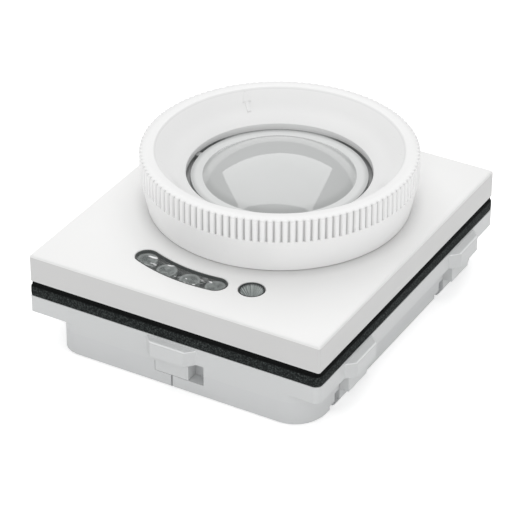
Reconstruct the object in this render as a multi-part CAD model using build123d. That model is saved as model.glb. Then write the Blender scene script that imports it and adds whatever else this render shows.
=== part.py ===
from build123d import *
import math
import os

# Occupancy sensor insert with a turning lens ring, lying on its flat rear face.
# All sizes are in millimetres.  +X is the device's right, +Y its top edge,
# +Z comes out of the face.  The origin is the centre of the rear face.

# Face plate
plate_w = 65.0
plate_h = 75.0
plate_t = 6.0
plate_wall = 1.8
plate_deck = 2.0
plate_corner_r = 0.5
plate_edge = 0.45
seal_rib_w = 1.0

# Foam gasket between the plate and the mounting frame
gasket_t = 3.5
gasket_w = 5.0
gasket_inset = 0.3

# Mounting frame: rim, flange under the gasket, and the box wall below it
rim_h = 3.7
rim_corner_r = 1.5
flange_t = 1.6
flange_w = 5.5
frame_wall = 1.6
skirt_h = 2.0
lug_gap = 2.0
lug_l = 9.0

# Box outline: notched at both left corners to clear the fixing screws
box_side_in = 2.0
notch_in = 6.0
notch_from_centre = 13.1
box_corner_r = 7.0
notch_corner_r = 4.5
notch_step_r = 1.8

# Snap blocks round the rim, with a latch under each that reaches into the cover
clip_out = 1.9
clip_tip_w = 7.5
clip_wall_w = 11.3
clip_drop = 0.4
clip_edge = 0.3
side_clip_pitch = 44.9
side_clip_up = 0.8
latch_w = 7.5
latch_t = 2.7
latch_low = 3.05
catch_out = 0.3
catch_h = 0.9
pocket_w = 3.45
pocket_wall = 1.0
slot_side_w = 1.8
slot_side_low = 0.6
slot_side_high = 3.2
slot_side_depth = 1.4
nick_w = 2.0
nick_h = 1.3
nick_depth = 1.0

# Rear cover
cover_h = 5.3
cover_floor = 1.6
cover_edge = 0.5
snap_slit_w = 0.4
snap_slit_depth = 0.6

# Lens ring: knurled grip outside, funnel inside, sleeve through the plate
head_up = 5.0
ring_h = 12.4
ring_lift = 0.3
knurl_r = 28.2
skirt_in = 1.5
rim_w = 2.9
knurl_low = 7.4
knurl_count = 120
knurl_groove_w = 0.56
knurl_groove_depth = 0.36
knurl_end = 0.3
ring_wall = 1.8
throat_r = 18.7
throat_up = 7.1
throat_wall_h = 1.3
funnel_dip = 0.45
funnel_t = 2.4
sleeve_r = 21.4
sleeve_wall = 1.6
arrow_angle = 136.5
arrow_h = 0.35
arrow_stem_w = 0.5
arrow_head_w = 1.7

# Stops that limit the ring to a quarter turn each way from upright
quarter_turn = 90.0
lug_angle = 7.0
stop_lug_t = 1.5
stop_lug_depth = 0.7
stop_lug_root = 0.6
stop_lug_top = 2.5
stop_play_angle = 0.6
channel_depth = 1.0

# Clips on the end of the sleeve that keep the head in the plate
keeper_count = 3
keeper_angle = 36.0
keeper_t = 1.4
keeper_out = 2.2

# Lens
dome_r = 15.5
dome_rise = 5.0
dome_t = 1.2
dome_rings = 3
lens_collar_r = 18.0
lens_collar_h = 0.3
lens_flange_t = 1.2
lens_key_w = 1.4
lens_key_angle = 47.0
lens_clip_count = 3
lens_clip_angle = 24.0
lens_clip_t = 1.4
lens_clip_w = 1.6

# Adjuster slot with its window, and the round indicator window
slot_from_edge = 9.0
slot_w = 4.9
slot_from = -111.2
slot_to = -82.3
slot_sink = 0.6
window_t = 1.0
window_ledge = 0.35
eye_angle = -69.8
eye_r = 2.65
eye_sink = 1.0
guide_flange_w = 0.9
guide_flange_t = 0.8
guide_flutes = 8
guide_flute_w = 0.5

# Posts between the plate and the frame, two of them with a screw
post_in_x = 11.0
post_in_y = 9.9
post_w = 5.4
plate_screw_r = 1.05
plate_screw_head_r = 2.0
plate_screw_head_h = 1.7
plate_screw_bite = 4.5

# Circuit boards
board_t = 1.6
sensor_board_gap = 0.5
side_opening = 6.0
power_board_gap = 2.6
power_board_up = 1.0
power_board_behind = 7.2
board_rest_w = 3.2
rest_in_x = 11.6
rest_in_low = 13.5
rest_in_high = 4.3

# Motion sensor can on its holder
can_r = 4.55
can_rim_r = 4.9
can_h = 4.2
can_rim_t = 0.4
can_window_w = 4.0
can_window_h = 3.0
can_window_t = 0.4
holder_h = 4.4
holder_wall = 2.4
lead_w = 0.5
lead_circle_r = 2.5
lead_stub = 0.8

# Adjusters
trimmer_count = 4
trimmer_case_w = 4.9
trimmer_case_h = 5.3
rotor_r = 1.9
rotor_h = 1.2
rotor_sunk = 0.5
rotor_play = 0.08
rotor_slot_w = 0.6
rotor_slot_l = 2.8
rotor_slot_depth = 0.6

# Terminal block at the rear, one wire entry and one release key for each pole
pole_count = 4
pole_pitch = 6.4
block_in = 12.0
block_depth = 12.0
block_end_wall = 1.7
block_shoulder = 1.0
block_sink = 0.4
block_top = 9.8
entry_y = 2.6
entry_r = 2.1
entry_depth = 6.0
key_y = -2.9
key_w = 4.0
key_l = 3.0
key_play = 0.15
key_collar = 0.35
key_collar_t = 1.0
key_sink = 0.2
key_stem_top = 6.0
key_lip_top = 2.6
key_travel = 1.5
chamber_w = 5.2
chamber_wall = 1.0
lid_t = 0.8
strip_t = 0.5
strip_w = 3.6

# Parts on the power board
relay_w = 10.0
relay_l = 20.0
relay_h = 10.2
relay_in = 11.7
relay_y = -6.0
film_w = 6.0
film_l = 18.0
film_h = 11.0
film_in = 9.5
film_y = 1.0
part_play = 0.6
drum_r = 4.0
drum_h = 6.2
drum_at = (-12.5, -3.0)
coil_w = 7.0
coil_h = 5.0
coil_x = 12.0
coil_in = 12.5
varistor_r = 3.2
varistor_t = 3.2
varistor_at = (-2.0, -12.0)
fuse_r = 2.0
fuse_h = 6.0
fuse_x = -12.0
fuse_in = 16.5
bridge_l = 8.0
bridge_w = 6.0
bridge_h = 2.6
bridge_at = (2.0, 6.0)
header_pins_n = 6
header_pitch = 2.54
header_y = -17.5
header_w = 2.5
pin_w = 0.64
pin_play = 0.1
pin_stub = 0.8

# Parts on the sensor board
chip_w = 7.0
chip_t = 1.1
chip_in = 17.5
chip_y = 12.0
led_w = 1.6
led_l = 2.2
led_h = 1.0
cell_w = 2.0
cell_h = 0.9
indicator_split = 1.5

# Clearances
fit = 0.1
loose = 0.3
bearing = 0.25
small_r = 0.4

# Levels, from the rear face up
z_seam = cover_h
z_rim = z_seam + skirt_h
z_gasket = z_rim + rim_h
z_plate = z_gasket + gasket_t
z_face = z_plate + plate_t
z_deck = z_face - plate_deck
z_flange = z_gasket - flange_t
z_board = z_gasket
z_board_top = z_board + board_t
z_power = cover_floor + power_board_up
z_power_top = z_power + board_t

# Levels of the head, from the plate's face up
lens_seat = throat_up - throat_wall_h
dome_base = lens_seat + lens_collar_h
sleeve_in = sleeve_r - sleeve_wall
keeper_top = -plate_deck - loose

# Places that follow the plate's outline
skirt_r = knurl_r - skirt_in
mouth_r = knurl_r - rim_w
slot_r = plate_h / 2 + head_up - slot_from_edge
post_x = plate_w / 2 - post_in_x
post_y = plate_h / 2 - post_in_y
block_y = plate_h / 2 - block_in
power_board_top_y = block_y - power_board_behind
block_half = pole_count * pole_pitch / 2 + block_end_wall
lug_w = plate_w / 2 - flange_w - block_half - lug_gap
relay_at = (plate_w / 2 - relay_in, relay_y)
film_at = (film_in - plate_w / 2, film_y)
coil_at = (coil_x, coil_in - plate_h / 2)
fuse_at = (fuse_x, fuse_in - plate_h / 2)
chip_at = (chip_in - plate_w / 2, chip_y)

head_at = Pos(0, head_up, z_face)
posts = [(x, y) for x in (-post_x, post_x) for y in (-post_y, post_y)]
screwed_posts = [(x, y) for x, y in posts if x * y < 0]


def slab(sketch, low, high):
    """A flat outline raised from one level to another."""
    return Pos(0, 0, low) * extrude(sketch, high - low)


def rod(radius, low, high, x=0.0, y=0.0):
    """An upright round bar."""
    return Pos(x, y, (low + high) / 2) * Cylinder(radius, high - low)


def brick(w, l, low, high, x=0.0, y=0.0):
    """An upright rectangular block."""
    return Pos(x, y, (low + high) / 2) * Box(w, l, high - low)


def turned(points):
    """A solid of revolution about Z from (radius, height) points."""
    return revolve(Plane.XZ * make_face(Polyline(*points, close=True)), Axis.Z)


def rounded(w, h, r):
    """A rectangle with rounded corners, or sharp ones where the radius is small."""
    return RectangleRounded(w, h, r) if r > small_r else Rectangle(w, h)


def frame_band(inset_out, inset_in, r):
    """A rectangular band that follows the plate's outline."""
    outer = rounded(plate_w - 2 * inset_out, plate_h - 2 * inset_out, r)
    inner_r = r - (inset_in - inset_out)
    return outer - rounded(plate_w - 2 * inset_in, plate_h - 2 * inset_in, inner_r)


def box_outline(inset=0.0):
    """The notched outline of the rear box, drawn in by an inset."""
    side = plate_w / 2 - box_side_in - inset
    notch = plate_w / 2 - notch_in - inset
    end = plate_h / 2 - inset
    step_low = notch_from_centre - inset
    step_r = notch_step_r - inset if notch_step_r - inset > small_r else 0
    corners = [
        (-notch, end, max(notch_corner_r - inset, small_r)),
        (-notch, step_low, side - notch - step_r - fit),
        (-side, step_low, step_r),
    ]
    corners += [(x, -y, r) for x, y, r in reversed(corners)]
    corners += [(side, y, max(box_corner_r - inset, small_r)) for y in (-end, end)]
    points = [(x, y) for x, y, r in corners]
    radii = [r for x, y, r in corners]
    return make_face(FilletPolyline(*points, radius=radii, close=True))


def arc_band(r_in, r_out, start, sweep):
    """A flat band between two radii about the head's axis."""
    outer = CenterArc((0, 0), r_out, start, sweep)
    inner = CenterArc((0, 0), r_in, start, sweep)
    ends = [Line(outer @ 0, inner @ 0), Line(outer @ 1, inner @ 1)]
    return make_face([outer, inner] + ends)


def kidney(width):
    """The curved slot in front of the adjusters, on the head's centre."""
    arc = CenterArc((0, 0), slot_r, slot_from, slot_to - slot_from)
    return Pos(0, head_up) * SlotArc(arc, width)


def on_slot_circle(angle):
    """A point of the circle that the slot and the round window share."""
    a = math.radians(angle)
    return slot_r * math.cos(a), head_up + slot_r * math.sin(a)


eye_at = on_slot_circle(eye_angle)
trimmer_step = (slot_to - slot_from) / (trimmer_count - 1)
trimmer_angles = [slot_from + i * trimmer_step for i in range(trimmer_count)]

# Where the snap blocks stand, each with its own +X pointing out of the rim
end_sites = [Pos(0, side * plate_h / 2) * Rot(0, 0, side * 90) for side in (-1, 1)]
right_sites = []
left_sites = []
for step in (-0.5, 0.5):
    y = side_clip_up + step * side_clip_pitch
    right_sites.append(Pos(plate_w / 2, y))
    left_sites.append(Pos(-plate_w / 2, y) * Rot(0, 0, 180))
latch_sites = end_sites + right_sites


# Face plate and its windows

def front_plate():
    body = slab(rounded(plate_w, plate_h, plate_corner_r), z_plate, z_face)
    body = chamfer(body.faces().sort_by(Axis.Z)[-1].edges(), plate_edge)
    inner_r = plate_corner_r - plate_wall
    inside = rounded(plate_w - 2 * plate_wall, plate_h - 2 * plate_wall, inner_r)
    body -= slab(inside, z_plate, z_deck)
    rib_in = gasket_inset + gasket_w
    body += slab(frame_band(rib_in - seal_rib_w, rib_in, plate_corner_r), z_plate, z_deck)
    for x, y in posts:
        body += brick(post_w, post_w, z_gasket, z_deck, x, y)
    for x, y in screwed_posts:
        body -= rod(plate_screw_r, z_gasket, z_deck, x, y)
    body -= head_at * rod(sleeve_r + bearing, -plate_deck, 0)
    body -= stop_channel()
    body -= slab(kidney(slot_w), z_face - slot_sink - window_t, z_face)
    body -= slab(kidney(slot_w - 2 * window_ledge), z_deck, z_face)
    body -= rod(eye_r, z_deck, z_face, *eye_at)
    return body


def stop_channel():
    """The arc groove under the ring that its stop lug runs in."""
    r_out = skirt_r - ring_wall + loose
    r_in = r_out - stop_lug_t - 2 * loose
    half = quarter_turn + lug_angle / 2 + stop_play_angle
    band = arc_band(r_in, r_out, -90 - half, 2 * half)
    return head_at * slab(band, -channel_depth, 0)


def adjuster_window():
    top = z_face - slot_sink
    return slab(kidney(slot_w - 2 * fit), top - window_t, top)


def light_guide():
    """A fluted clear rod that fills the round window from below."""
    r = eye_r - fit
    top = z_face - eye_sink
    body = rod(r, z_deck, top)
    body += rod(r + guide_flange_w, z_deck - guide_flange_t, z_deck)
    for place in PolarLocations(r, guide_flutes):
        body -= place * Rot(0, 0, 45) * brick(guide_flute_w, guide_flute_w, z_deck, top)
    return Pos(*eye_at) * body


# Gasket, mounting frame and rear cover

def foam_gasket():
    band = frame_band(gasket_inset, gasket_inset + gasket_w, plate_corner_r)
    return slab(band, z_gasket, z_plate)


def snap_block():
    """A wedge block that stands out along +X."""
    tip, wall = clip_tip_w / 2, clip_wall_w / 2
    plan = Polyline((-1, -wall), (0, -wall), (clip_out, -tip), (clip_out, tip),
                    (0, wall), (-1, wall), close=True)
    block = slab(make_face(plan), z_rim, z_gasket - clip_drop)
    top = block.faces().sort_by(Axis.Z)[-1]
    block = chamfer(top.edges().sort_by(Axis.X)[-1], clip_edge)
    return block


def latch():
    """The tongue under a block that reaches into the rear cover."""
    return brick(latch_t, latch_w, latch_low, z_rim + 1, -latch_t / 2) + latch_catch()


def latch_catch(play=0.0):
    """The catch at the end of a latch, or with some play its recess in the cover."""
    low = latch_low + catch_h / 2
    reach = catch_out + play
    return brick(2 * reach, latch_w - 2 * catch_h + 2 * play, low - play,
                 low + catch_h + play, -latch_t)


def end_pocket(low, high, play=0.0):
    """The relief beside the latch of an end block, open to the outside."""
    start = -latch_w / 2 - play
    length = latch_w + pocket_w + play
    return brick(latch_t + play, length, low, high, -(latch_t + play) / 2, start + length / 2)


def end_housing(low, high, grow=0.0):
    """The walls round that relief."""
    length = latch_w + pocket_w + 2 * (pocket_wall + grow)
    depth = latch_t + pocket_wall + grow
    return brick(depth, length, low, high, -depth / 2, pocket_w / 2)


def side_relief():
    """The cut for a side latch, with a slot and a nick at each side of it."""
    wall_x = -box_side_in
    depth = latch_t - box_side_in + fit
    cut = brick(depth, latch_w + 2 * fit, latch_low - fit, z_seam, wall_x - depth / 2)
    for side in (-1, 1):
        y = side * (latch_w + slot_side_w) / 2
        cut += brick(slot_side_depth, slot_side_w + 2 * fit, slot_side_low, slot_side_high,
                     wall_x - slot_side_depth / 2, y)
        y = side * (latch_w / 2 + slot_side_w + nick_w / 2)
        cut += brick(nick_depth, nick_w, 0, nick_h, wall_x - nick_depth / 2, y)
    return cut


def mounting_frame():
    rim = rounded(plate_w, plate_h, rim_corner_r)
    cavity = box_outline(frame_wall)
    body = slab(rim, z_rim, z_gasket)
    body += slab(box_outline(), z_seam, z_rim)
    body -= slab(cavity, z_seam, z_flange)
    opening = rounded(plate_w - 2 * flange_w, plate_h - 2 * flange_w, rim_corner_r)
    body -= slab(opening, z_flange, z_gasket)
    for x, y in posts:
        lug_x = math.copysign(plate_w / 2 - flange_w - lug_w / 2, x)
        lug_y = math.copysign(plate_h / 2 - flange_w - lug_l / 2, y)
        body += brick(lug_w, lug_l, z_flange, z_gasket, lug_x, lug_y)
    for x, y in screwed_posts:
        body -= rod(plate_screw_r + loose, z_flange, z_gasket, x, y)
    for site in end_sites:
        body += site * end_housing(z_seam, z_flange)
        body -= site * end_pocket(z_seam, z_rim)
    for site in latch_sites + left_sites:
        body += site * snap_block()
    for site in latch_sites:
        body += site * latch()
    return body


def rear_cover():
    body = slab(box_outline(), 0, z_seam)
    body = chamfer(body.faces().sort_by(Axis.Z)[0].edges(), cover_edge)
    body -= slab(box_outline(frame_wall), cover_floor, z_seam)
    for x, y in board_rests():
        body += brick(board_rest_w, board_rest_w, cover_floor, z_power, x, y)
    window_w, window_l = block_nose_size()
    body -= brick(window_w + 2 * fit, window_l + 2 * fit, 0, cover_floor, 0, block_y)
    for site in end_sites:
        body += site * end_housing(cover_floor, z_seam)
        body -= site * end_pocket(latch_low - fit, z_seam, fit)
        body -= site * brick(snap_slit_depth, snap_slit_w, 0, latch_low, -snap_slit_depth / 2)
    for site in right_sites:
        body -= site * side_relief()
    for site in latch_sites:
        body -= site * latch_catch(fit)
    return body


def board_rests():
    """Where the power board sits on short pillars of the rear cover."""
    x = plate_w / 2 - rest_in_x
    low, high = rest_in_low - plate_h / 2, power_board_top_y - rest_in_high
    return [(-x, low), (x, low), (-x, high), (x, high)]


# Head: ring, lens and what holds them

def knurled_ring():
    wall_in = skirt_r - ring_wall
    under = throat_up - funnel_t / 2
    dip_r = (mouth_r + throat_r) / 2
    dip_z = (ring_h + throat_up) / 2 - funnel_dip
    core_r = knurl_r - knurl_groove_depth - 0.05
    profile = [
        (skirt_r, ring_lift),
        (knurl_r + 0.05, knurl_low),
        (core_r, knurl_low),
        (core_r, ring_h),
        (mouth_r, ring_h),
        (dip_r, dip_z),
        (throat_r, throat_up),
        (throat_r, lens_seat),
        (sleeve_in, lens_seat),
        (sleeve_in, keeper_top),
        (sleeve_r, keeper_top),
        (sleeve_r, under),
        (wall_in, under),
        (wall_in, ring_lift),
    ]
    body = turned(profile)
    body += stop_lug()
    body += knurl_band(core_r - 0.3)
    body += direction_arrow(dip_r, dip_z)
    body -= lens_key(lens_key_w + 2 * fit)
    return head_at * body


def knurl_band(r_in):
    """The grip: a band of flat teeth with a V-shaped groove between them."""
    pitch = 360 / knurl_count
    half = pitch / 2 - math.degrees(knurl_groove_w / knurl_r) / 2
    outline = []
    for i in range(knurl_count):
        for turn, r in ((-half, knurl_r), (half, knurl_r), (pitch / 2, knurl_r - knurl_groove_depth)):
            a = math.radians(i * pitch + turn)
            outline.append((r * math.cos(a), r * math.sin(a)))
    teeth = make_face(Polyline(*outline, close=True)) - Circle(r_in)
    return slab(teeth, knurl_low, ring_h - knurl_end)


def stop_lug():
    """The lug that meets the ends of the plate's channel."""
    r_out = skirt_r - ring_wall
    r_in = r_out - stop_lug_t
    angle = arrow_angle + 180 - lug_angle / 2
    low = arc_band(r_in, r_out - fit, angle, lug_angle)
    high = arc_band(r_in, r_out + ring_wall / 2, angle, lug_angle)
    return (slab(low, -stop_lug_depth, stop_lug_root)
            + slab(high, stop_lug_root, stop_lug_top))


def direction_arrow(dip_r, dip_z):
    """A raised arrow on the funnel that shows which way the lens points."""
    low_r, high_r = throat_r + 2.4, mouth_r - 0.6
    line = [(mouth_r, ring_h), (dip_r, dip_z), (throat_r, throat_up)]
    skin = [(r, z + arrow_h) for r, z in line] + [(r, z - 0.5) for r, z in reversed(line)]
    head_l = arrow_head_w
    stem = Pos((low_r + high_r) / 2, 0) * Rectangle(high_r - low_r, arrow_stem_w)
    barb = Polyline((high_r, 0), (high_r - head_l, arrow_head_w / 2),
                    (high_r - head_l, arrow_stem_w), (high_r - 0.8, 0),
                    (high_r - head_l, -arrow_stem_w), (high_r - head_l, -arrow_head_w / 2),
                    close=True)
    flat = stem + make_face(barb)
    return Rot(0, 0, arrow_angle) * (slab(flat, 0, 2 * ring_h) & turned(skin))


def lens_key(width):
    """The key beside the lens collar, or with more width its slot in the ring."""
    length = throat_r - dome_r
    at = (dome_r + throat_r) / 2 + 0.7
    key = brick(length, width, lens_seat, dome_base, at)
    return Rot(0, 0, arrow_angle + lens_key_angle) * key


def fresnel_lens():
    """A dome of flat-sided lens rings on a collar, hollow from below."""
    ball_r = (dome_r ** 2 + dome_rise ** 2) / (2 * dome_rise)
    centre_z = dome_base + dome_rise - ball_r
    bottom = lens_seat - lens_flange_t
    inner_r = dome_r - dome_t
    points = []
    for i in range(dome_rings + 1):
        r = dome_r * i / dome_rings
        points.append((r, centre_z + math.sqrt(ball_r ** 2 - r ** 2)))
    points += [
        (lens_collar_r, dome_base),
        (lens_collar_r, lens_seat),
        (sleeve_in - loose, lens_seat),
        (sleeve_in - loose, bottom),
        (inner_r, bottom),
        (inner_r, dome_base),
        (0, dome_base),
    ]
    body = turned(points)
    body += lens_key(lens_key_w) & rod(throat_r - fit, lens_seat, dome_base)
    return head_at * body


def lens_clip(angle):
    """One of the clips that hold the lens up against the ring's throat."""
    top = lens_seat - lens_flange_t
    r_out = sleeve_in - fit
    band = arc_band(r_out - lens_clip_w, r_out, angle, lens_clip_angle)
    return head_at * slab(band, top - lens_clip_t, top)


def keeper(angle):
    """One of the clips under the plate that keep the head from lifting off."""
    band = arc_band(sleeve_in + fit, sleeve_r + keeper_out, angle, keeper_angle)
    return head_at * slab(band, keeper_top - keeper_t, keeper_top)


# Screws

def plate_screw(x, y):
    top = z_gasket + plate_screw_bite
    body = rod(plate_screw_r - fit / 2, z_flange, top, x, y)
    head = rod(plate_screw_head_r, z_flange - plate_screw_head_h, z_flange, x, y)
    slot = brick(3.0, 0.6, z_flange - plate_screw_head_h, z_flange - 0.9, x, y)
    return body + head - slot


# Sensor board and what stands on it

def sensor_board():
    inset = gasket_inset + gasket_w + sensor_board_gap
    outline = Rectangle(plate_w - 2 * inset, plate_h - 2 * inset)
    body = slab(outline, z_board, z_board_top)
    for x, y in posts:
        clear = post_w + 2 * loose
        body -= brick(clear, clear, z_board, z_board_top, x, y)
    gap = 2 * part_play
    out = side_opening / 2
    body -= brick(relay_w + gap + side_opening, relay_l + gap, z_board, z_board_top,
                  relay_at[0] + out, relay_at[1])
    body -= brick(film_w + gap + side_opening, film_l + gap, z_board, z_board_top,
                  film_at[0] - out, film_at[1])
    body -= header_holes(z_board, z_board_top)
    body -= lead_holes(z_board, z_board_top)
    return body


def lead_places():
    return [Pos(0, head_up) * place for place in PolarLocations(lead_circle_r, 3, 45)]


def lead_holes(low, high):
    width = lead_w + fit
    holes = [place * brick(width, width, low, high) for place in lead_places()]
    return holes[0] + holes[1] + holes[2]


def sensor_holder():
    """The square stand that lifts the motion sensor to the lens's focus."""
    top = z_board_top + holder_h
    width = 2 * (can_rim_r + loose)
    body = brick(width, width, z_board_top, top)
    body -= brick(width - 2 * holder_wall, width - 2 * holder_wall, z_board_top, top)
    return Pos(0, head_up) * chamfer(body.edges().filter_by(Axis.Z), 1.0)


def motion_sensor_can():
    low = z_board_top + holder_h
    body = rod(can_r, low, low + can_h) + rod(can_rim_r, low, low + can_rim_t)
    body -= brick(can_window_w + fit, can_window_h + fit, low + can_h - can_window_t, low + can_h)
    return Pos(0, head_up) * body


def motion_sensor_window():
    top = z_board_top + holder_h + can_h
    return brick(can_window_w, can_window_h, top - can_window_t, top, 0, head_up)


def motion_sensor_leads():
    high = z_board_top + holder_h
    low = z_board - lead_stub
    return [place * brick(lead_w, lead_w, low, high) for place in lead_places()]


def trimmer_case(angle):
    x, y = on_slot_circle(angle)
    high = z_board_top + trimmer_case_h
    body = brick(trimmer_case_w, trimmer_case_w, z_board_top, high)
    recess = RegularPolygon(rotor_r + rotor_play, 8, major_radius=False)
    body -= slab(recess, high - rotor_sunk, high)
    return Pos(x, y) * Rot(0, 0, angle) * body


def trimmer_rotor(angle):
    x, y = on_slot_circle(angle)
    low = z_board_top + trimmer_case_h - rotor_sunk + rotor_play
    top = low + rotor_h
    body = rod(rotor_r, low, top)
    body -= brick(rotor_slot_l, rotor_slot_w, top - rotor_slot_depth, top)
    body -= brick(rotor_slot_w, rotor_slot_l, top - rotor_slot_depth, top)
    return Pos(x, y) * Rot(0, 0, angle + 45) * body


def control_chip():
    body = brick(chip_w, chip_w, z_board_top, z_board_top + chip_t, *chip_at)
    return chamfer(body.faces().sort_by(Axis.Z)[-1].edges(), 0.2)


def status_led():
    x = eye_at[0] - indicator_split
    body = brick(led_w, led_l, z_board_top, z_board_top + led_h, x, eye_at[1])
    return chamfer(body.faces().sort_by(Axis.Z)[-1].edges(), 0.2)


def light_cell():
    x = eye_at[0] + indicator_split
    body = brick(cell_w, cell_w, z_board_top, z_board_top + cell_h, x, eye_at[1])
    return chamfer(body.faces().sort_by(Axis.Z)[-1].edges(), 0.2)


# Power board and what stands on it

def power_board():
    outline = box_outline(frame_wall + power_board_gap)
    body = slab(outline, z_power, z_power_top)
    body -= brick(plate_w, plate_h, z_power, z_power_top, 0, power_board_top_y + plate_h / 2)
    return body - header_holes(z_power, z_power_top)


def relay():
    body = brick(relay_w, relay_l, z_power_top, z_power_top + relay_h, *relay_at)
    return chamfer(body.faces().sort_by(Axis.Z)[-1].edges(), 0.4)


def film_capacitor():
    body = brick(film_w, film_l, z_power_top, z_power_top + film_h, *film_at)
    return chamfer(body.edges().filter_by(Axis.Z), 0.5)


def supply_capacitor():
    return rod(drum_r, z_power_top, z_power_top + drum_h, *drum_at)


def choke():
    """A moulded square choke with cut corners."""
    body = brick(coil_w, coil_w, z_power_top, z_power_top + coil_h, *coil_at)
    return chamfer(body.edges().filter_by(Axis.Z), 1.2)


def varistor():
    disc = Rot(90, 0, 0) * Cylinder(varistor_r, varistor_t)
    foot = brick(4.0, varistor_t * 0.6, z_power_top, z_power_top + varistor_r)
    return Pos(*varistor_at) * (Pos(0, 0, z_power_top + varistor_r + 0.1) * disc + foot)


def fuse():
    return rod(fuse_r, z_power_top, z_power_top + fuse_h, *fuse_at)


def bridge_rectifier():
    body = brick(bridge_l, bridge_w, z_power_top, z_power_top + bridge_h, *bridge_at)
    return chamfer(body.faces().sort_by(Axis.Z)[-1].edges(), 0.3)


def header_places():
    first = -(header_pins_n - 1) / 2 * header_pitch
    return [(first + i * header_pitch, header_y) for i in range(header_pins_n)]


def header_holes(low, high):
    width = pin_w + pin_play
    cut = Part()
    for x, y in header_places():
        cut += brick(width, width, low, high, x, y)
    return cut


def board_header():
    length = header_pins_n * header_pitch
    body = brick(length, header_w, z_power_top, z_board, 0, header_y)
    return body - header_holes(z_power_top, z_board)


def header_pins():
    low, high = z_power - pin_stub, z_board_top + pin_stub
    return [brick(pin_w, pin_w, low, high, x, y) for x, y in header_places()]


# Terminal block

pole_xs = [(i - (pole_count - 1) / 2) * pole_pitch for i in range(pole_count)]


def block_nose_size():
    """Width and length of the block where it shows through the rear cover."""
    return 2 * (block_half - block_shoulder), block_depth - 2 * block_shoulder


def terminal_block():
    nose_w, nose_l = block_nose_size()
    width = nose_w + 2 * block_shoulder
    body = brick(nose_w, nose_l, block_sink, cover_floor)
    body += brick(width, block_depth, cover_floor, block_top)
    floor_z = block_sink + entry_depth
    wall_y = block_depth / 2 - chamber_wall
    key_out = key_y - key_l / 2 - key_collar - key_play
    for x in pole_xs:
        body -= rod(entry_r, block_sink, floor_z, x, entry_y)
        length = wall_y - key_out
        body -= brick(chamber_w, length, floor_z, block_top, x, key_out + length / 2)
        body -= brick(key_w + 2 * key_play, key_l + 2 * key_play, block_sink, floor_z, x, key_y)
        wide = 2 * (key_collar + key_play)
        body -= brick(key_w + wide, key_l + wide, key_lip_top, floor_z, x, key_y)
        exit_l = block_depth / 2 + key_out
        body -= brick(strip_w + 2 * fit, exit_l, floor_z, floor_z + strip_t + fit, x,
                      key_out - exit_l / 2)
    return Pos(0, block_y) * body


def terminal_lid():
    nose_w, nose_l = block_nose_size()
    width = nose_w + 2 * block_shoulder
    return brick(width, block_depth, block_top, block_top + lid_t, 0, block_y)


def release_key(x):
    """The key that opens one clamp when it is pressed into the block."""
    low = block_sink + key_sink
    body = brick(key_w, key_l, low, key_stem_top)
    collar_low = key_lip_top + fit
    body += brick(key_w + 2 * key_collar, key_l + 2 * key_collar, collar_low,
                  collar_low + key_collar_t)
    body -= brick(key_w - 1.6, 0.6, low, low + 0.4)
    return Pos(x, block_y + key_y) * body


def bent_strip(points, width):
    """A bent metal strip: its side view is a line in Y and Z."""
    return extrude(Plane.YZ * trace(Polyline(*points), strip_t), width / 2, both=True)


def clamp_spring(x):
    floor_z = block_sink + entry_depth
    back = block_depth / 2 - chamber_wall - fit - strip_t / 2
    high = block_top - fit - strip_t / 2
    free = key_stem_top + key_travel + loose + strip_t / 2
    points = [(entry_y - 0.4, floor_z + 1.3), (back, floor_z + 2.4), (back, high),
              (key_y + 1.4, high), (key_y, free)]
    return Pos(x, block_y) * bent_strip(points, strip_w)


def contact_bar(x):
    floor_z = block_sink + entry_depth + strip_t / 2
    out = power_board_top_y - block_y - 1.0
    hole_side = key_y - key_l / 2 - key_collar - key_play - 0.1
    points = [(hole_side, floor_z), (out, floor_z), (out, z_power_top)]
    return Pos(x, block_y) * bent_strip(points, strip_w)


# Every piece, under the name of its node

parts = {
    "front_plate": front_plate(),
    "adjuster_window": adjuster_window(),
    "light_guide": light_guide(),
    "foam_gasket": foam_gasket(),
    "mounting_frame": mounting_frame(),
    "rear_cover": rear_cover(),
    "plate_screws": [plate_screw(x, y) for x, y in screwed_posts],
    "knurled_ring": knurled_ring(),
    "fresnel_lens": fresnel_lens(),
    "lens_clips": [lens_clip(i * 360 / lens_clip_count) for i in range(lens_clip_count)],
    "head_keepers": [keeper(i * 360 / keeper_count) for i in range(keeper_count)],
    "sensor_board": sensor_board(),
    "sensor_holder": sensor_holder(),
    "motion_sensor_can": motion_sensor_can(),
    "motion_sensor_window": motion_sensor_window(),
    "motion_sensor_leads": motion_sensor_leads(),
    "trimmer_cases": [trimmer_case(a) for a in trimmer_angles],
    "control_chip": control_chip(),
    "status_led": status_led(),
    "light_cell": light_cell(),
    "power_board": power_board(),
    "relay": relay(),
    "film_capacitor": film_capacitor(),
    "supply_capacitor": supply_capacitor(),
    "choke": choke(),
    "varistor": varistor(),
    "fuse": fuse(),
    "bridge_rectifier": bridge_rectifier(),
    "board_header": board_header(),
    "header_pins": header_pins(),
    "terminal_block": terminal_block(),
    "terminal_lid": terminal_lid(),
    "clamp_springs": [clamp_spring(x) for x in pole_xs],
    "contact_bars": [contact_bar(x) for x in pole_xs],
}
for i, angle in enumerate(trimmer_angles):
    parts[f"trimmer_rotor_{i + 1}"] = trimmer_rotor(angle)
for i, x in enumerate(pole_xs):
    parts[f"release_key_{i + 1}"] = release_key(x)

os.makedirs("parts", exist_ok=True)
for name, shape in parts.items():
    if isinstance(shape, list):
        shape = Compound(children=shape)
    export_step(shape, f"parts/{name}.step")
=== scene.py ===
import math

import bmesh
import bpy
from mathutils import Matrix, Vector


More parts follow.
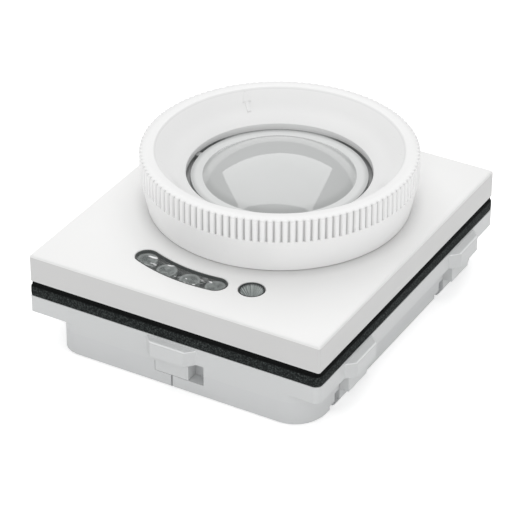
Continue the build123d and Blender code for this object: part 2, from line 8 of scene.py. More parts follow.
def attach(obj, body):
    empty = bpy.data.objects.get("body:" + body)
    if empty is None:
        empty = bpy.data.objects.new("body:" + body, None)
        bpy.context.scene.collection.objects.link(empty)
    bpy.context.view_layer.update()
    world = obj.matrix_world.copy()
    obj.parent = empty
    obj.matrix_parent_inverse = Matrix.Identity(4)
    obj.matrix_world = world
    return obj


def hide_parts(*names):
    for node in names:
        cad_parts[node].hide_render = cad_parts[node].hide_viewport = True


# The looks of the sensor insert: one finish for each kind of surface, the finer
# shapes, a pale floor, soft lamps and the camera.  Places are in metres in the
# part's frame.

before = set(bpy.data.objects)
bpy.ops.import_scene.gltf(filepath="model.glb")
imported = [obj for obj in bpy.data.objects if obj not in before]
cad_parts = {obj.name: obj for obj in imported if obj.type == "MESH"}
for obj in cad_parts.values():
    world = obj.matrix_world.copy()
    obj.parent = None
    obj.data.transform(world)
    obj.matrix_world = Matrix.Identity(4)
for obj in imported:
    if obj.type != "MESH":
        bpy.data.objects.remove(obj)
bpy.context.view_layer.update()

mm = 0.001
head_centre = (0.0, 5.0 * mm)
eye_centre = (11.568 * mm, -26.439 * mm)
face_z = 20.5 * mm

# These, and the outlines further down, are in millimetres
plate_x, plate_y = 32.5, 37.5           # half the plate's sides
foam_low, foam_high = 11.0, 14.5
dome_edge, collar_edge = 15.5, 18.0     # radii on the lens
pane_z = -0.85                          # the slot window's skin, from the face

# The adjusters' slot: an arc about the head's centre, with one dial a step
slot_r, slot_from, slot_to = 33.5, math.radians(-111.2), math.radians(-82.3)
dial_places = []
for step in range(4):
    turn = slot_from + step * (slot_to - slot_from) / 3
    dial_places.append((head_centre[0] + slot_r * mm * math.cos(turn),
                        head_centre[1] + slot_r * mm * math.sin(turn)))


class Wire:
    """One output of a shader node.  Arithmetic on it adds Math nodes."""

    def __init__(self, finish, socket):
        self.finish = finish
        self.socket = socket

    def maths(self, operation, first, second=0):
        return self.finish.add("ShaderNodeMath", {"operation": operation}, {0: first, 1: second})

    def __add__(self, other):
        return self.maths("ADD", self, other)

    __radd__ = __add__

    def __sub__(self, other):
        return self.maths("SUBTRACT", self, other)

    def __rsub__(self, other):
        return self.maths("SUBTRACT", other, self)

    def __mul__(self, other):
        return self.maths("MULTIPLY", self, other)

    __rmul__ = __mul__

    def __gt__(self, other):
        return self.maths("GREATER_THAN", self, other)

    def __abs__(self):
        return self.maths("ABSOLUTE", self)

    def cosine(self):
        return self.maths("COSINE", self)


class Finish:
    """A material under construction."""

    def __init__(self, name):
        self.material = bpy.data.materials.new(name)
        self.material.use_nodes = True
        self.tree = self.material.node_tree
        self.tree.nodes.clear()
        self.place = self.add("ShaderNodeTexCoord", output="Object")

    def add(self, kind, settings=None, inputs=None, output=0):
        """A node of one kind.  Its settings come first, then what its inputs take."""
        node = self.tree.nodes.new(kind)
        for key, value in (settings or {}).items():
            if key == "stops":
                ramp = node.color_ramp.elements
                for i, (at, grey) in enumerate(value):
                    stop = ramp[i] if i < 2 else ramp.new(at)
                    stop.position = at
                    stop.color = (grey, grey, grey, 1)
            else:
                setattr(node, key, value)
        for key, value in (inputs or {}).items():
            if isinstance(value, Wire):
                self.tree.links.new(value.socket, node.inputs[key])
            else:
                node.inputs[key].default_value = value
        return Wire(self, node.outputs[output]) if node.outputs else None

    def noise(self, size, detail=2.0, roughness=0.5, where=None):
        """Soft noise from 0 to 1 whose features are about as large as size."""
        return self.add("ShaderNodeTexNoise", {}, {
            "Vector": where or self.place, "Scale": 1 / size, "Detail": detail,
            "Roughness": roughness})

    def cells(self, size, feature="F1"):
        """Distance to the nearest of many scattered points, in cell sizes."""
        return self.add("ShaderNodeTexVoronoi", {"feature": feature}, {
            "Vector": self.place, "Scale": 1 / size})

    def stretched(self, x, y, z):
        """The surface's place with each axis scaled, for grain that runs one way."""
        return self.add("ShaderNodeVectorMath", {"operation": "MULTIPLY"},
                        {0: self.place, 1: (x, y, z)})

    def axis(self, letter):
        return self.add("ShaderNodeSeparateXYZ", {}, {"Vector": self.place}, letter)

    def radius(self, x, y):
        """Distance from an upright axis, in metres."""
        away = self.add("ShaderNodeVectorMath", {"operation": "SUBTRACT"},
                        {0: self.place, 1: (x, y, 0)})
        flat = self.add("ShaderNodeVectorMath", {"operation": "MULTIPLY"}, {0: away, 1: (1, 1, 0)})
        return self.add("ShaderNodeVectorMath", {"operation": "LENGTH"}, {0: flat}, "Value")

    def turn_about(self, x, y):
        """The direction from an upright axis, in radians."""
        across = self.axis("X") - x
        return across.maths("ARCTAN2", self.axis("Y") - y, across)

    def band(self, low, high):
        """1 between two heights given in metres, 0 elsewhere."""
        height, fade = self.axis("Z"), 0.1 * mm
        return self.step(height, low - fade, low) * (1 - self.step(height, high, high + fade))

    def step(self, value, low, high):
        """0 below low, 1 above high and a smooth rise between them."""
        return self.add("ShaderNodeMapRange", {"interpolation_type": "SMOOTHSTEP"}, {
            "Value": value, "From Min": low, "From Max": high})

    def blend(self, factor, low, high):
        """A colour between two colours."""
        inputs = {"Factor": factor}
        inputs[6] = low if isinstance(low, Wire) else (*low, 1)
        inputs[7] = high if isinstance(high, Wire) else (*high, 1)
        return self.add("ShaderNodeMix", {"data_type": "RGBA"}, inputs, 2)

    def bump(self, height, depth, strength=1.0):
        return self.add("ShaderNodeBump", {}, {
            "Height": height, "Distance": depth, "Strength": strength})

    def done(self, **sockets):
        """End in a Principled shader.  Socket names have _ for their spaces."""
        return self.show(self.add("ShaderNodeBsdfPrincipled", {}, {
            key.replace("_", " "): value for key, value in sockets.items()}, "BSDF"))

    def show(self, shader):
        self.add("ShaderNodeOutputMaterial", {}, {"Surface": shader})
        return self.material


def shade(colour, factor):
    return tuple(c * factor for c in colour)


# Finishes

def moulded(name, colour, gloss, texture_depth=3e-6, tone_and_painted_shade=None):
    """Injection-moulded plastic: a spark-eroded grain, faint flow clouds and handling marks.

    The last argument tells, from the finish, how much of the colour is taken away at each place:
    painted shade and painted light, and on the box a fixed grey tone too.
    """
    f = Finish(name)
    clouds = f.noise(14 * mm, 3)
    grain = f.noise(0.16 * mm, 3, 0.7)
    rubs = f.noise(1, 4, 0.65, where=f.stretched(120, 900, 400))
    tone = f.blend(clouds, shade(colour, 0.975), colour)
    speck = f.step(f.noise(0.5 * mm, 1), 0.72, 0.8)
    tone = f.blend(speck * 0.08, tone, shade(colour, 0.7))
    if tone_and_painted_shade:
        # Painted shade and painted light: colour taken away where the last argument says
        tone = f.blend(tone_and_painted_shade(f), tone, (0, 0, 0))
    height = grain + 0.5 * f.noise(1.2 * mm, 2)
    return f.done(Base_Color=tone,
                  Roughness=gloss + 0.10 * grain - 0.07 * f.step(rubs, 0.55, 0.7),
                  Normal=f.bump(height, texture_depth), IOR=1.5)


def painted_shade_sides_and_foot(f):
    """Painted shade on the plate's upright sides and along the ring's foot."""
    # Painted shade: a soft dark ring at the ring's foot, and the plate's upright sides darker
    foot = 1 - f.step(f.radius(*head_centre), 26.6 * mm, 30.0 * mm)
    return 0.14 * foot + 0.25 * f.band(foam_high * mm, face_z - 0.6 * mm)


def box_tone_and_painted_light(f):
    """The box and rim below the foam lose a fixed share of their colour; the snap blocks' tops lose
    less, as painted light.
    """
    past_end = abs(f.axis("Y")) > (plate_y + 0.1) * mm
    past_side = abs(f.axis("X")) > (plate_x + 0.1) * mm
    # Painted light: the snap blocks' tops are made paler
    tops = (past_side + past_end) * f.band((foam_low - 0.55) * mm, foam_low * mm)
    return 0.29 - 0.22 * tops


def painted_shade_grooves_and_rim(f):
    """Painted shade on the ring's rim and funnel and in the grooves of its grip."""
    radius = f.radius(*head_centre)
    groove = f.step(radius, 27.0 * mm, 27.1 * mm) * (1 - f.step(radius, 27.75 * mm, 28.03 * mm))
    funnel = 1 - f.step(radius, 24.8 * mm, 25.3 * mm)
    # Painted shade: funnel, rim top and grip grooves darkened
    return (0.08 * funnel + 0.08 * f.band(face_z + 12.0 * mm, face_z + 13.0 * mm)
            + 0.36 * groove * f.band(face_z + 7.45 * mm, face_z + 11.9 * mm))


def open_foam():
    """Black cellular foam, with painted shade near its top, under the plate's edge."""
    f = Finish("open_foam")
    bubbles = f.cells(0.42 * mm)
    fine = f.cells(0.17 * mm)
    skin = f.noise(2.5 * mm, 3)
    pores = f.step(bubbles, 0.18, 0.62)
    tone = f.blend(pores, (0.038, 0.045, 0.044), (0.008, 0.010, 0.010))
    lit = f.step(f.noise(0.28 * mm, 2, 0.8), 0.55, 0.70)
    tone = f.blend(lit * 0.6, tone, (0.12, 0.13, 0.127))
    # Painted shade: the top of the foam, under the plate, made nearly black
    shade_under_plate = f.step(f.axis("Z"), (foam_high - 1.45) * mm, (foam_high - 1.2) * mm)
    tone = f.blend(shade_under_plate * 0.95, tone, (0.001, 0.0015, 0.0015))
    height = 1.0 - pores + 0.4 * fine + 0.5 * skin
    return f.done(Base_Color=tone, Roughness=0.82 + 0.12 * skin, IOR=1.4,
                  Specular_IOR_Level=0.2, Normal=f.bump(height, 60e-6, 0.8))


def milky_lens():
    """Translucent lens plastic: grey over the hollow dome, paler on the solid collar, with painted
    shade at the dome's steep edge and in the collar's gap.
    """
    f = Finish("milky_lens")
    radius = f.radius(*head_centre)
    collar = f.step(radius, (dome_edge - 0.1) * mm, (dome_edge + 0.15) * mm)
    outer = f.step(radius, (collar_edge - 1.3) * mm, (collar_edge - 0.2) * mm)
    # Painted shade in the gap between collar and throat
    gap_shade = f.step(radius, (collar_edge - 0.04) * mm, (collar_edge + 0.02) * mm)
    # Painted shade: the dome darker towards its steep edge
    steep_edge_shade = f.step(radius, (dome_edge - 1.6) * mm, (dome_edge - 0.3) * mm)
    # The painted shade in the collar's gap is made lighter on the arrow's side
    from_far = f.turn_about(*head_centre) - math.radians(120)
    gap_shade_lifted = f.step(from_far.cosine(), 0.72, 0.9)
    cloud = f.noise(6 * mm, 2)
    dome = f.blend(cloud, (0.495, 0.505, 0.502), (0.52, 0.53, 0.527))
    dome = f.blend(steep_edge_shade, dome, (0.43, 0.44, 0.437))
    solid = f.blend(outer, (0.62, 0.63, 0.627), (0.43, 0.44, 0.437))
    gap_shade_tone = f.blend(gap_shade_lifted, (0.20, 0.205, 0.205), (0.56, 0.57, 0.567))
    solid = f.blend(gap_shade, solid, gap_shade_tone)
    return f.done(Base_Color=f.blend(collar, dome, solid),
                  Roughness=0.03 + 0.02 * cloud + 0.3 * collar, IOR=1.92,
                  Normal=f.bump(f.noise(0.8 * mm, 2), 0.5e-6))


def slot_plastic():
    """The smoky clear window: paler over each dial and nearly black between, with painted shade up
    its edge and painted glints.
    """
    f = Finish("slot_plastic")
    wave = f.noise(1.5 * mm, 2, 0.5)
    # Painted shade: the tray's edge up the slot wall is nearly black
    edge = f.step(f.axis("Z"), face_z + (pane_z + 0.04) * mm, face_z + (pane_z + 0.12) * mm)
    over_dial = outline = 0
    for x, y in dial_places:
        far = f.radius(x, y)
        within = 1 - f.step(far, 2.0 * mm, 2.2 * mm)
        over_dial = over_dial + within
        outline = outline + within * f.step(far, 1.45 * mm, 1.75 * mm)
    between = f.blend(wave, (0.09, 0.10, 0.098), (0.21, 0.225, 0.22))
    disc = f.blend(f.step(wave, 0.3, 0.7), (0.19, 0.21, 0.205), (0.37, 0.40, 0.39))
    tone = f.blend(over_dial, between, disc)
    tone = f.blend(0.65 * outline, tone, (0.50, 0.53, 0.52))
    # Painted glints: small near-white marks on the window
    painted_glint = f.step(f.noise(1, 1, 0.5, where=f.stretched(420, 900, 500)), 0.66, 0.69)
    tone = f.blend(painted_glint * (1 - edge), tone, (0.95, 0.96, 0.96))
    return f.done(Base_Color=f.blend(edge, tone, (0.10, 0.11, 0.107)),
                  Roughness=0.07 + 0.06 * wave + 0.25 * edge, IOR=1.5,
                  Alpha=0.34 + 0.26 * over_dial + 0.4 * edge + 0.3 * painted_glint,
                  Normal=f.bump(wave, 25e-6))


def light_pipe():
    """The fluted cup's clear plastic, with pale streaks painted down its slope as highlights and
    painted shade near its top.
    """
    f = Finish("light_pipe")
    turn = f.turn_about(*eye_centre)
    streaks = f.noise(0.07, 2, where=turn)
    # Painted shade: the cup's upper part made nearly black
    top_shade = f.step(f.axis("Z"), face_z - 0.75 * mm, face_z - 0.3 * mm)
    # Painted highlights: pale streaks where the flutes catch light
    tone = f.blend(f.step(streaks, 0.40, 0.62), (0.13, 0.15, 0.145), (0.60, 0.64, 0.63))
    return f.done(Base_Color=f.blend(top_shade, tone, (0.03, 0.035, 0.035)),
                  Roughness=0.14 + 0.2 * streaks, IOR=1.49, Normal=f.bump(streaks, 30e-6))


def metal(name, colour, roughness):
    """Drawn or rolled metal with fine lines along its length and a little tarnish."""
    f = Finish(name)
    lines = f.noise(1, 3, 0.6, where=f.stretched(300, 9000, 300))
    tarnish = f.noise(3 * mm, 3)
    return f.done(Base_Color=f.blend(tarnish, shade(colour, 0.82), colour), Metallic=1.0,
                  Roughness=roughness + 0.14 * lines, Normal=f.bump(lines, 4e-6))


def coated(name, colour, roughness, pit=0.5 * mm, depth=5e-6):
    """Small cased components: dipped, potted or moulded, with an uneven skin."""
    f = Finish(name)
    skin = f.noise(pit, 3)
    broad = f.noise(5 * mm, 2)
    return f.done(Base_Color=f.blend(broad, shade(colour, 0.85), colour),
                  Roughness=roughness + 0.12 * skin, Normal=f.bump(skin, depth), IOR=1.5)


def board_laminate():
    """Solder mask over glass weave, with pale copper areas showing through."""
    f = Finish("board_laminate")
    warp, weft = [f.add("ShaderNodeTexWave", {"bands_direction": letter},
                        {"Vector": f.place, "Scale": 620.0, "Distortion": 0.6})
                  for letter in "XY"]
    weave = warp * weft
    copper = f.step(f.cells(7 * mm, feature="DISTANCE_TO_EDGE"), 0.10, 0.13)
    tone = f.blend(copper, (0.010, 0.085, 0.045), (0.022, 0.16, 0.085))
    tone = f.blend(weave * 0.25, tone, (0.05, 0.2, 0.11))
    return f.done(Base_Color=tone, Roughness=0.28 + 0.15 * weave,
                  Normal=f.bump(copper + 0.2 * weave, 12e-6), IOR=1.55)


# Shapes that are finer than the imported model's

def eased(corners, parts=4):
    """Round the corners of a (radius, height, rounding) outline, all in millimetres."""
    points = []
    for i, (r, z, rounding) in enumerate(corners):
        here = Vector((r, z))
        if not rounding:
            points.append(here)
            continue
        back = (Vector(corners[i - 1][:2]) - here).normalized()
        ahead = (Vector(corners[(i + 1) % len(corners)][:2]) - here).normalized()
        reach = rounding / math.tan(back.angle(ahead) / 2)
        first, last = here + back * reach, here + ahead * reach
        for k in range(parts + 1):
            t = k / parts
            points.append(first * (1 - t) ** 2 + here * 2 * t * (1 - t) + last * t ** 2)
    return points


def shaped(name, vertices, faces, body, nodes, sharp):
    """A mesh that stands for some nodes and moves with their body.

    Edges that fold by more than sharp degrees stay crisp.
    """
    mesh = bpy.data.meshes.new(name)
    mesh.from_pydata(vertices, [], faces)
    piece = bpy.data.objects.new(name, mesh)
    bpy.context.scene.collection.objects.link(piece)
    work = bmesh.new()
    work.from_mesh(mesh)
    bmesh.ops.recalc_face_normals(work, faces=work.faces)
    for face in work.faces:
        face.smooth = True
    for edge in work.edges:
        if len(edge.link_faces) == 2 and edge.calc_face_angle() > math.radians(sharp):
            edge.smooth = False
    work.to_mesh(mesh)
    work.free()
    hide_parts(*nodes)
    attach(piece, body)
    return piece


def lathe(name, outline, turns, body, nodes, cut=None, centre=head_centre):
    """Turn a closed outline about an upright axis.  cut gives a radius change at an angle."""
    rows, vertices, faces = len(outline), [], []
    for angle in turns:
        for r, z in outline:
            r += cut(angle, r, z) if cut else 0
            vertices.append((centre[0] + r * mm * math.cos(angle),
                             centre[1] + r * mm * math.sin(angle), face_z + z * mm))
    for i in range(len(turns)):
        near, far = i * rows, (i + 1) % len(turns) * rows
        for k in range(rows):
            m = (k + 1) % rows
            faces.append((near + k, far + k, far + m, near + m))
    return shaped(name, vertices, faces, body, nodes, 32)


def even_turns(count):
    return [i * math.tau / count for i in range(count)]


# The turning ring: flat teeth, a skirt that narrows downwards and a dished funnel
teeth = 120
knurl_r, groove_depth = 28.2, 0.5
groove_flank = 0.24     # of a tooth's pitch
knurl_low, ring_top = 7.4, 12.4
tooth_turns = [(tooth + part) * math.tau / teeth for tooth in range(teeth)
               for part in (0.10, 0.20, 0.26, 0.5, 0.74, 0.80, 0.90, 1.0)]


def groove_cut(angle, r, z):
    """How far the groove between two teeth cuts in at this place of the ring's skin."""
    if z <= knurl_low or r < knurl_r - groove_depth - 0.12:
        return 0
    part = angle * teeth / math.tau % 1
    edge = min(part, 1 - part)
    depth = groove_depth * max(0, 1 - edge / groove_flank) ** 0.6
    return -max(0, min(depth, r - (knurl_r - groove_depth)))


ring_outline = eased([
    (26.7, 0.15, 0.15), (27.75, 5.2, 6.0), (knurl_r - 0.03, knurl_low - 0.02, 0.12),
    (knurl_r, knurl_low + 0.02, 0), (knurl_r, ring_top - 0.3, 0.4), (26.9, ring_top, 3.0),
    (25.3, ring_top - 0.1, 0.3), (22.1, 9.3, 16.0), (18.9, 7.1, 0.18), (18.9, 5.8, 0),
    (19.8, 5.8, 0), (19.8, -2.3, 0), (21.4, -2.3, 0), (21.4, 5.9, 0.4), (24.9, 5.9, 0.4),
    (24.9, 0.15, 0)])
grip_ring = lathe("grip_ring", ring_outline, tooth_turns, "head", ["knurled_ring"], groove_cut)

# What stands out from the ring: the arrow on its funnel and the stop lug below
arrow_turn = math.radians(136.5)
arrow_tail, arrow_neck, arrow_tip = 21.4, 23.1, 24.9


def funnel_z(radius):
    """Height of the funnel's skin at a radius, in millimetres above the plate."""
    for (r1, z1), (r2, z2) in zip(ring_outline, ring_outline[1:]):
        if r2 < radius <= r1 and z2 > 7:
            return z1 + (z2 - z1) * (r1 - radius) / (r1 - r2)
    return ring_top


def arrow_half(radius):
    """Half the arrow's width at a radius: a stem, then a head that ends in a point."""
    if radius < arrow_neck:
        return 0.33
    return 0.85 * (arrow_tip - radius) / (arrow_tip - arrow_neck) + 0.03


def raised_arrow(rise=0.3, slope=0.06, count=40):
    """A low arrow on the funnel's skin, as cross-sections from its tail to its tip."""
    vertices, faces = [], []
    along = Vector((math.cos(arrow_turn), math.sin(arrow_turn)))
    across = Vector((-along.y, along.x))
    for k in range(count + 1):
        r = arrow_tail + (arrow_tip - arrow_tail) * k / count
        half, height = arrow_half(r), rise if 0 < k < count else 0.02
        foot = half + slope
        for side, up in ((-foot, -0.3), (-foot, 0.0), (-half, height),
                         (half, height), (foot, 0.0), (foot, -0.3)):
            at = along * r + across * side
            vertices.append((head_centre[0] + at.x * mm, head_centre[1] + at.y * mm,
                             face_z + (funnel_z(r) + up) * mm))
    for k in range(count):
        a = 6 * k
        faces += [(a + i, a + (i + 1) % 6, a + 6 + (i + 1) % 6, a + 6 + i) for i in range(6)]
    faces += [tuple(range(6)), tuple(len(vertices) - 1 - i for i in range(6))]
    return vertices, faces


arrow_mark = shaped("arrow_mark", *raised_arrow(), "head", ["knurled_ring"], 50)


def arc_block(name, radii, levels, turn, half, nodes):
    """A block between two radii and two levels, to half an angle each side of a turn."""
    vertices, faces, steps = [], [], 8
    for k in range(steps + 1):
        a = turn + half * (2 * k / steps - 1)
        for r, z in ((radii[0], levels[0]), (radii[1], levels[0]),
                     (radii[1], levels[1]), (radii[0], levels[1])):
            vertices.append((head_centre[0] + r * mm * math.cos(a),
                             head_centre[1] + r * mm * math.sin(a), face_z + z * mm))
    for k in range(steps):
        a = 4 * k
        faces += [(a + i, a + (i + 1) % 4, a + 4 + (i + 1) % 4, a + 4 + i) for i in range(4)]
    faces += [(0, 1, 2, 3), tuple(len(vertices) - i for i in (1, 2, 3, 4))]
    return shaped(name, vertices, faces, "head", nodes, 30)


stop_lug = arc_block("stop_lug", (23.4, 24.95), (-0.7, 2.5), arrow_turn + math.pi,
                     math.radians(3.5), ["knurled_ring"])

# The lens: a hollow dome on a collar, held by a flange under the funnel's throat
dome_rise, dome_wall, collar_z = 5.0, 0.9, 6.1
ball_r = (dome_edge ** 2 + dome_rise ** 2) / (2 * dome_rise)
ball_z = collar_z + dome_rise - ball_r


def dome_line(radius, reach, count):
    """Points of a ball's top from its middle out to a reach, in millimetres."""
    rs = [reach * i / count for i in range(count + 1)]
    return [(r, ball_z + math.sqrt(radius ** 2 - r ** 2)) for r in rs]


lens_outline = dome_line(ball_r, dome_edge, 28) + [
    tuple(p) for p in eased([(dome_edge + 0.1, collar_z, 0), (collar_edge - 0.05, collar_z, 0.12),
                             (collar_edge, 5.1, 0), (18.85, 5.1, 0), (18.88, 5.79, 0),
                             (19.5, 5.79, 0), (19.5, 4.6, 0), (15.3, 4.6, 0)])]
lens_outline += dome_line(ball_r - dome_wall, 15.3, 10)[::-1]
lens_cap = lathe("lens_cap", lens_outline, even_turns(160), "head", ["fresnel_lens"])
lens_key = arc_block("lens_key", (17.8, 18.85), (5.0, collar_z), arrow_turn + math.radians(47),
                     0.7 / collar_edge, ["fresnel_lens"])


def softened(name, node, body, width, pick=None, reshape=None, clamped=True):
    """A copy of a moulded piece whose sharp edges are eased as a mould leaves them.

    pick says at which points, and reshape moves single points first.
    """
    work = bmesh.new()
    work.from_mesh(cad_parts[node].data)
    bmesh.ops.remove_doubles(work, verts=work.verts, dist=2e-6)
    bmesh.ops.dissolve_limit(work, angle_limit=math.radians(0.5), verts=work.verts,
                             edges=work.edges)
    for vertex in work.verts if reshape else ():
        reshape(vertex.co)
    rims = [e for e in work.edges if len(e.link_faces) == 2 and e.calc_face_angle() > 0.6
            and (pick is None or all(pick(v.co) for v in e.verts))]
    bmesh.ops.bevel(work, geom=rims, offset=width * mm, offset_type="OFFSET", segments=2,
                    profile=0.5, affect="EDGES", clamp_overlap=clamped)
    for edge in work.edges:
        edge.smooth = len(edge.link_faces) != 2 or edge.calc_face_angle() < 0.85
    mesh = bpy.data.meshes.new(name)
    work.to_mesh(mesh)
    work.free()
    for face in mesh.polygons:
        face.use_smooth = True
    piece = bpy.data.objects.new(name, mesh)
    bpy.context.scene.collection.objects.link(piece)
    even = piece.modifiers.new("even", "WEIGHTED_NORMAL")
    even.weight = 100
    even.keep_sharp = True
    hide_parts(node)
    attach(piece, body)
    return piece


def on_slot_edge(point):
    """Whether a point of the plate is on the face, at the slot or the round window."""
    away = math.hypot(point.x - head_centre[0], point.y - head_centre[1])
    return (point.z > face_z - 0.01 * mm and abs(away - slot_r * mm) < 5.5 * mm
            and point.y > (1.5 - plate_y) * mm)


def corner_rounding(right, front):
    """The rim and the foam have one soft corner, the front right one, in millimetres."""
    return 1.5 if right and front else 0.3


def crisp_corner(point):
    """Draw the rim's rounded corners out to their own rounding."""
    old, new = 1.5 * mm, corner_rounding(point.x > 0, point.y < 0) * mm
    out_x, out_y = abs(point.x) - (plate_x * mm - old), abs(point.y) - (plate_y * mm - old)
    if out_x > -1e-6 and out_y > -1e-6 and math.hypot(out_x, out_y) > old - 0.02 * mm:
        point.x = math.copysign(plate_x * mm - new + out_x * new / old, point.x)
        point.y = math.copysign(plate_y * mm - new + out_y * new / old, point.y)


def above_catches(point):
    """Whether a point of the frame is above the latch gaps."""
    return point.z > 6.5 * mm


def on_rear_edge(point):
    """Whether a point of the cover is at the device's back."""
    return point.z < 0.5 * mm


face_shell = softened("face_shell", "front_plate", "base", 0.3, pick=on_slot_edge,
                      clamped=False)
box_frame = softened("box_frame", "mounting_frame", "base", 0.16, pick=above_catches,
                     reshape=crisp_corner)
box_tray = softened("box_tray", "rear_cover", "base", 0.16, pick=on_rear_edge)
dials = [softened(f"dial_{i}", f"trimmer_rotor_{i}", f"adjuster_{i}", 0.12) for i in range(1, 5)]


# The slot's window: a kidney-shaped tray whose dark edge lines the slot wall as painted shade

def kidney_loop(half, z, steps=96):
    """Points round the slot at half its width, from one end to the other and back."""
    loop = []
    for start, end, r, middle in ((slot_from, slot_to, slot_r + half, None),
                                  (slot_to, slot_to + math.pi, half, slot_to),
                                  (slot_to, slot_from, slot_r - half, None),
                                  (slot_from + math.pi, slot_from + math.tau, half, slot_from)):
        count = steps if middle is None else steps // 4
        for k in range(count):
            a = start + (end - start) * k / count
            x, y = r * math.cos(a), r * math.sin(a)
            if middle is not None:
                x, y = x + slot_r * math.cos(middle), y + slot_r * math.sin(middle)
            loop.append((head_centre[0] + x * mm, head_centre[1] + y * mm, face_z + z * mm))
    return loop


def dimple(point):
    """The shallow round hollow in the window over each dial."""
    away = min(math.hypot(point[0] - x, point[1] - y) for x, y in dial_places) / mm
    hollow = 0.22 * max(0, 1 - (away / 1.95) ** 2)
    lip = 0.06 * max(0, 1 - abs(away - 2.05) / 0.15)
    return point[0], point[1], point[2] - (hollow - lip) * mm


def lofted(name, loops, nodes):
    """A skin through loops that have as many points each, fixed to the base."""
    count = len(loops[0])
    faces = [(k * count + i, k * count + (i + 1) % count, (k + 1) * count + (i + 1) % count,
              (k + 1) * count + i) for k in range(len(loops) - 1) for i in range(count)]
    return shaped(name, sum(loops, []), faces, "base", nodes, 40)


pane_rows = [(0.02 + 0.203 * k, pane_z) for k in range(11)]
# The edge that lines the slot wall, dark as painted shade
shade_lining_rows = [(2.13, pane_z + 0.06), (2.19, -0.14), (2.24, -0.1), (2.31, -0.1), (2.35, -0.14),
             (2.35, -1.6), (1.2, -1.6), (0.02, -1.6)]
pane_loops = [[dimple(point) for point in kidney_loop(*row)] for row in pane_rows]
shade_lining_loops = [kidney_loop(*row) for row in shade_lining_rows]
slot_tray = lofted("slot_tray", pane_loops + shade_lining_loops, ["adjuster_window"])


def band_loop(inset, z, steps=6):
    """Points round the plate's outline, drawn in by an inset, at a height in millimetres."""
    loop = []
    for quarter, (sx, sy) in enumerate(((1, 1), (-1, 1), (-1, -1), (1, -1))):
        rounding = corner_rounding(sx > 0, sy < 0)
        half_x, half_y = plate_x - inset - rounding, plate_y - inset - rounding
        for k in range(steps + 1):
            a = (quarter + k / steps) * math.pi / 2
            loop.append(((sx * half_x + rounding * math.cos(a)) * mm,
                         (sy * half_y + rounding * math.sin(a)) * mm, z * mm))
    return loop


# The foam: pressed flat above, its edge bulging a little between plate and rim
foam_rows = [(5.3, foam_low), (0.16, foam_low), (0.06, 11.2), (0.02, 12.0), (0.04, 13.0),
             (0.08, 13.4), (0.20, 13.55), (0.28, 14.2), (0.3, foam_high), (5.3, foam_high),
             (5.3, foam_low)]
foam_band = lofted("foam_band", [band_loop(*row) for row in foam_rows], ["foam_gasket"])

# The round window: a cup whose sloping wall is fluted
flutes = 26


def flute_cut(angle, r, z):
    """The wave of the flutes on the cup's inner wall."""
    if not -2.5 < z < -0.3 or r > 2.4:
        return 0
    return 0.09 * r * math.cos(angle * flutes) / 2.4


cup_outline = [(0.02, -2.55), (0.55, -2.5), (1.0, -2.0), (1.6, -1.3), (2.15, -0.6), (2.36, -0.32),
               (2.42, -0.14), (2.46, -0.1), (2.51, -0.12), (2.55, -0.2), (2.55, -2.0), (3.45, -2.0),
               (3.45, -2.8), (0.02, -2.8)]
fluted_cup = lathe("fluted_cup", cup_outline, even_turns(flutes * 6), "base", ["light_guide"],
                   flute_cut, centre=eye_centre)


finishes = {
    moulded("shell_white", (0.86, 0.86, 0.855), 0.34, tone_and_painted_shade=painted_shade_sides_and_foot): [face_shell],
    moulded("ring_white", (0.94, 0.94, 0.938), 0.30, tone_and_painted_shade=painted_shade_grooves_and_rim): [
        grip_ring, arrow_mark, stop_lug],
    moulded("inner_white", (0.8, 0.8, 0.79), 0.45): ["lens_clips", "head_keepers"],
    moulded("frame_grey", (0.92, 0.935, 0.937), 0.42, 5e-6, box_tone_and_painted_light): [box_frame],
    moulded("cover_grey", (0.64, 0.65, 0.654), 0.45, 6e-6): [box_tray],
    moulded("terminal_grey", (0.42, 0.43, 0.44), 0.5, 6e-6): ["terminal_block", "terminal_lid"],
    moulded("key_orange", (0.72, 0.26, 0.05), 0.42, 4e-6): [
        f"release_key_{i}" for i in range(1, 5)],
    open_foam(): [foam_band],
    milky_lens(): [lens_cap, lens_key],
    slot_plastic(): [slot_tray],
    light_pipe(): [fluted_cup],
    coated("trimmer_body", (0.16, 0.17, 0.17), 0.4): ["trimmer_cases"],
    coated("trimmer_face", (0.42, 0.44, 0.43), 0.25): dials,
    board_laminate(): ["sensor_board", "power_board"],
    coated("black_mould", (0.02, 0.02, 0.021), 0.5): [
        "sensor_holder", "control_chip", "choke", "bridge_rectifier", "board_header"],
    coated("relay_case", (0.03, 0.06, 0.14), 0.35): ["relay"],
    coated("film_case", (0.62, 0.40, 0.07), 0.3): ["film_capacitor"],
    coated("sleeve_black", (0.03, 0.03, 0.05), 0.35): ["supply_capacitor"],
    coated("varistor_blue", (0.03, 0.13, 0.42), 0.28, 0.8 * mm, 15e-6): ["varistor"],
    coated("led_red", (0.5, 0.03, 0.02), 0.15): ["status_led"],
    coated("cell_dark", (0.03, 0.02, 0.03), 0.12): ["light_cell", "motion_sensor_window"],
    coated("fuse_glass", (0.55, 0.56, 0.52), 0.12): ["fuse"],
    metal("zinc_screw", (0.62, 0.62, 0.6), 0.3): ["plate_screws"],
    metal("can_nickel", (0.66, 0.65, 0.62), 0.25): ["motion_sensor_can"],
    metal("tinned", (0.72, 0.72, 0.7), 0.3): ["motion_sensor_leads", "header_pins"],
    metal("spring_steel", (0.6, 0.6, 0.58), 0.28): ["clamp_springs"],
    metal("copper_strip", (0.75, 0.5, 0.28), 0.3): ["contact_bars"],
}
for material, pieces in finishes.items():
    for piece in pieces:
        if isinstance(piece, str):
            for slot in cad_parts[piece].material_slots:
                slot.material = material
        else:
            piece.data.materials.clear()
            piece.data.materials.append(material)


# Floor, lamps and camera

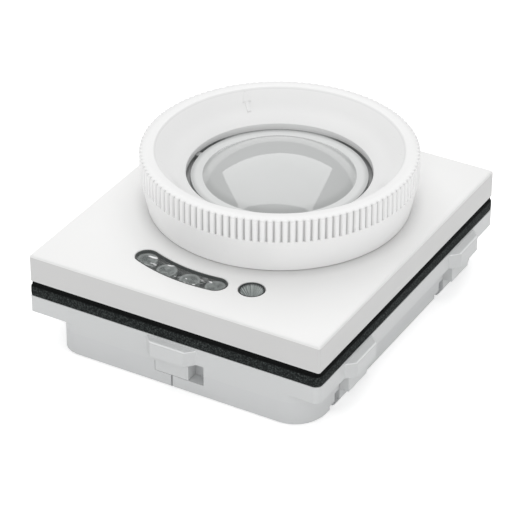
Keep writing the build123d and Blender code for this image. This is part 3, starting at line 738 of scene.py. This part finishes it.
def floor_finish():
    """Pale floor: seen directly it is near white, and it keeps the object's shadow."""
    f = Finish("pale_floor")
    dust = f.noise(30 * mm, 3)
    paint = f.add("ShaderNodeBsdfDiffuse", {}, {
        "Color": f.blend(dust, (0.88, 0.88, 0.88), (0.90, 0.90, 0.90))}, "BSDF")
    glow = f.add("ShaderNodeEmission", {}, {"Color": (1, 1, 1, 1), "Strength": 0.42}, "Emission")
    both = f.add("ShaderNodeAddShader", {}, {0: paint, 1: glow})
    camera, glossy, through, diffuse, length = [
        f.add("ShaderNodeLightPath", output=name) for name in (
            "Is Camera Ray", "Is Glossy Ray", "Is Transmission Ray", "Is Diffuse Ray",
            "Ray Length")]
    shown = f.add("ShaderNodeMixShader", {}, {0: camera + glossy + through, 1: paint, 2: both})
    # Seen from below the floor is clear, and so it is for the rear face that lies on it
    below = f.add("ShaderNodeNewGeometry", output="Backfacing")
    touching = diffuse * (1 - (length > 0.4 * mm))
    clear = f.add("ShaderNodeBsdfTransparent", {}, {}, "BSDF")
    return f.show(f.add("ShaderNodeMixShader", {}, {0: below + touching, 1: shown, 2: clear}))


def pale_floor():
    side, z = 3.0, -0.02 * mm
    mesh = bpy.data.meshes.new("floor")
    mesh.from_pydata([(-side, -side, z), (side, -side, z), (side, side, z), (-side, side, z)],
                     [], [(0, 1, 2, 3)])
    floor = bpy.data.objects.new("floor", mesh)
    bpy.context.scene.collection.objects.link(floor)
    mesh.materials.append(floor_finish())


def soft_lamp(name, place, aim, size, power):
    """A rectangular softbox that faces aim."""
    lamp = bpy.data.lights.new(name, "AREA")
    lamp.shape = "RECTANGLE"
    lamp.size, lamp.size_y = size
    lamp.energy = power
    box = bpy.data.objects.new(name, lamp)
    bpy.context.scene.collection.objects.link(box)
    box.location = place
    box.rotation_euler = (Vector(aim) - Vector(place)).to_track_quat("-Z", "Y").to_euler()
    return box


def studio():
    world = bpy.data.worlds.new("studio")
    bpy.context.scene.world = world
    world.use_nodes = True
    sky = world.node_tree.nodes["Background"]
    sky.inputs["Color"].default_value = (1, 1, 1, 1)
    sky.inputs["Strength"].default_value = 0.5
    centre = Vector((0, 0, face_z))
    # The large box behind is turned so that the lens mirrors it as a fan
    key_place = (-0.246, 0.300, 0.756)
    key = soft_lamp("key_box", key_place, centre, (1.044, 0.992), 4.5)
    key.matrix_world = (Matrix.Translation(key_place)
                        @ Matrix(((0.897, 0.420, -0.136), (0.434, -0.783, 0.446),
                                  (-0.081, 0.459, 0.885))).to_4x4())
    for name, place, power in (("front_box", (-0.45, -0.85, 0.3), 1.1),
                               ("right_box", (0.9, -0.3, 0.3), 1.0),
                               ("camera_box", (0.355, -0.614, 0.554), 1.3)):
        soft_lamp(name, place, centre, (0.5, 0.5), power)


def photo_camera():
    """The photograph's viewpoint: long lens, from the front right, looking down."""
    turn, lift, roll = math.radians(29.728), math.radians(32.352), math.radians(0.09)
    target = Vector((6.058, -15.536, 20.5)) * mm
    away = 520.79 * mm
    back = Vector((math.sin(turn) * math.cos(lift), -math.cos(turn) * math.cos(lift),
                   math.sin(lift)))
    camera = bpy.data.cameras.new("camera")
    camera.sensor_width = 36
    camera.lens = 187.56
    holder = bpy.data.objects.new("camera", camera)
    bpy.context.scene.collection.objects.link(holder)
    right = Vector((0, 0, 1)).cross(back).normalized()
    up = back.cross(right)
    pose = Matrix((right, up, back)).transposed().to_4x4()
    holder.matrix_world = Matrix.Translation(target + back * away) @ pose @ Matrix.Rotation(
        roll, 4, "Z")
    bpy.context.scene.camera = holder


pale_floor()
studio()
photo_camera()
bpy.context.scene.view_settings.view_transform = "Standard"
